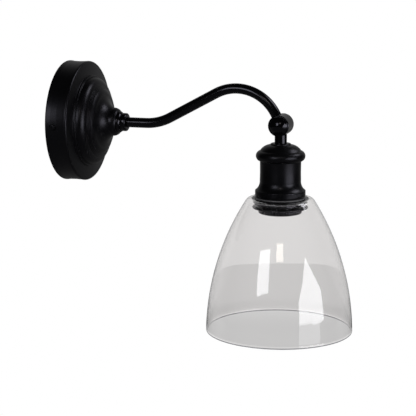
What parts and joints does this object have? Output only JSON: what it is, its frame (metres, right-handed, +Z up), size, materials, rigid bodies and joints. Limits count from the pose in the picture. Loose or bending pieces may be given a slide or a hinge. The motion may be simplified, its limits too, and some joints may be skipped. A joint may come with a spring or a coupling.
{
  "type": "wall lamp",
  "caption": "Black swan-neck wall lamp: round stepped wall cup, bent tube arm, tilting knuckle, turned lampholder cover and clear bell-shaped glass shade open below.",
  "frame": {"origin": "on the wall plane at the axis of the wall cup, midway between the two wall screws", "axes": "+X out of the wall along the cup's axis and the arm's reach, +Z up, arm in the plane Y = 0"},
  "size_m": [0.3054, 0.1504, 0.2712],
  "materials": {
    "black_paint": "satin black powder coat",
    "zinc_steel": "zinc plated",
    "brass": "plain brass",
    "clear_glass": "clear polished",
    "black_rubber": "matt",
    "black_moulding": "moulded black",
    "white_ceramic": "glazed white",
    "white_moulding": "moulded white",
    "wire_sleeving": "sleeved flex",
    "fibre": "pressed fibre"
  },
  "bodies": {
    "base": {"wall_bracket": "zinc_steel", "wall_cup": "black_paint", "cup_screws": "black_paint", "earth_tag": "brass", "earth_screw": "brass", "terminal_block": "white_moulding", "terminal_block_screws": "zinc_steel", "terminal_block_fixing": "zinc_steel", "arm_tube": "black_paint", "arm_collar": "black_paint", "collar_grub_screw": "black_paint", "arm_lock_washer": "zinc_steel", "arm_lock_nut": "zinc_steel", "knuckle_arm_half": "black_paint", "knuckle_rear_cap": "black_paint", "friction_ring": "fibre", "pivot_washer": "zinc_steel", "pivot_nut": "zinc_steel", "arm_flex": "wire_sleeving", "earth_wire": "wire_sleeving"},
    "head": {"knuckle_head_half": "black_paint", "knuckle_front_cap": "black_paint", "holder_cup": "black_paint", "socket_cap": "black_moulding", "socket_sleeve": "black_moulding", "socket_insert": "white_ceramic", "screw_shell": "brass", "centre_contact": "brass", "socket_terminal_screws": "brass", "shade_gasket": "black_rubber", "glass_shade": "clear_glass", "lower_gasket": "black_rubber", "shade_ring": "black_moulding", "shade_lock_ring": "black_moulding", "head_flex": "wire_sleeving"}
  },
  "joints": [
    {"name": "head_tilt", "type": "hinge", "parent": "base", "child": "head", "pos_m": [0.23026, 0, 0.00352], "axis": [0, -1, 0], "range_deg": [-45, 90]}
  ]
}
